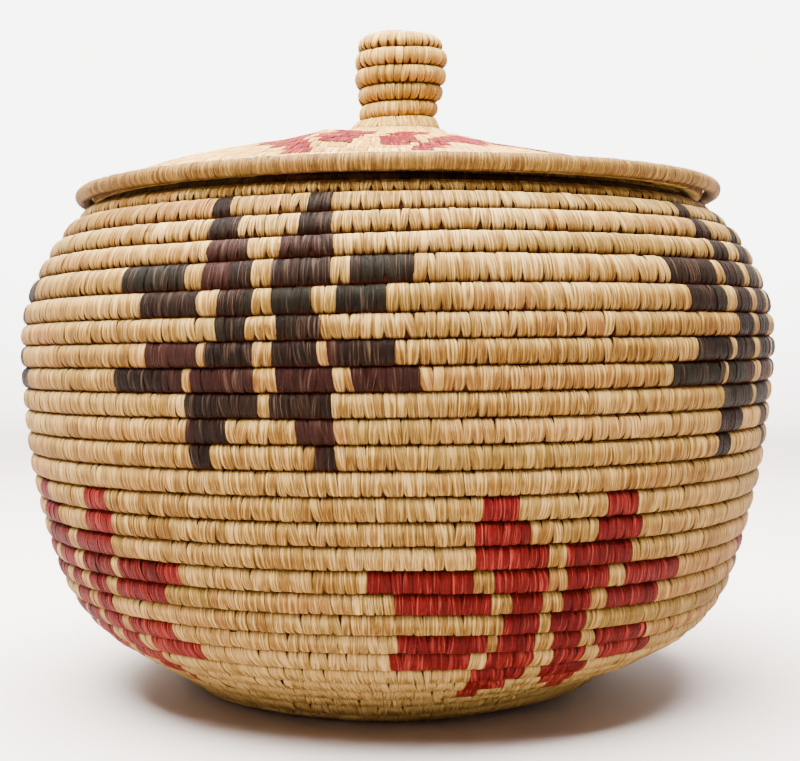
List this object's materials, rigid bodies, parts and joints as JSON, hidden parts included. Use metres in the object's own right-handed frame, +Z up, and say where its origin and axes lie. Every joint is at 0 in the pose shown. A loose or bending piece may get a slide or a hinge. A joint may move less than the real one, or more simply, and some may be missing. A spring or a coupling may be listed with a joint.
{
  "type": "rattle-top coiled basket",
  "caption": "Round-bellied coiled grass basket with a lift-off domed lid and a hollow coiled knob in which loose pebbles rattle.",
  "frame": {"origin": "centre of the foot, level with the surface that the basket stands on", "axes": "+Z up along the basket's axis; +Y away from the viewer in the picture, +X to the viewer's right"},
  "size_m": [0.292, 0.292, 0.2551],
  "materials": {
    "body_grass": "matte, coiled and stitched grass",
    "lid_grass": "matte, coiled and stitched grass",
    "pebble": "water-worn"
  },
  "bodies": {
    "basket": {"base_coil": "body_grass", "wall_coil": "body_grass", "rim_coil": "body_grass"},
    "lid": {"lid_coil": "lid_grass", "lid_edge_coil": "lid_grass", "lid_collar": "lid_grass", "knob_coil": "lid_grass", "knob_cap": "lid_grass", "rattle_floor": "lid_grass"},
    "pebble_1": {"rattle_pebble_1": "pebble"},
    "pebble_2": {"rattle_pebble_2": "pebble"},
    "pebble_3": {"rattle_pebble_3": "pebble"},
    "pebble_4": {"rattle_pebble_4": "pebble"},
    "pebble_5": {"rattle_pebble_5": "pebble"},
    "pebble_6": {"rattle_pebble_6": "pebble"}
  },
  "joints": [
    {"name": "lid_lift", "type": "slide", "parent": "basket", "child": "lid", "axis": [0, 0, 1], "range_m": [0, 0.12]},
    {"name": "pebble_1_hop", "type": "slide", "parent": "lid", "child": "pebble_1", "axis": [0, 0, 1], "range_m": [0, 0.017]},
    {"name": "pebble_2_hop", "type": "slide", "parent": "lid", "child": "pebble_2", "axis": [0, 0, 1], "range_m": [0, 0.017]},
    {"name": "pebble_3_hop", "type": "slide", "parent": "lid", "child": "pebble_3", "axis": [0, 0, 1], "range_m": [0, 0.017]},
    {"name": "pebble_4_hop", "type": "slide", "parent": "lid", "child": "pebble_4", "axis": [0, 0, 1], "range_m": [0, 0.017]},
    {"name": "pebble_5_hop", "type": "slide", "parent": "lid", "child": "pebble_5", "axis": [0, 0, 1], "range_m": [0, 0.017]},
    {"name": "pebble_6_hop", "type": "slide", "parent": "lid", "child": "pebble_6", "axis": [0, 0, 1], "range_m": [0, 0.017]}
  ]
}
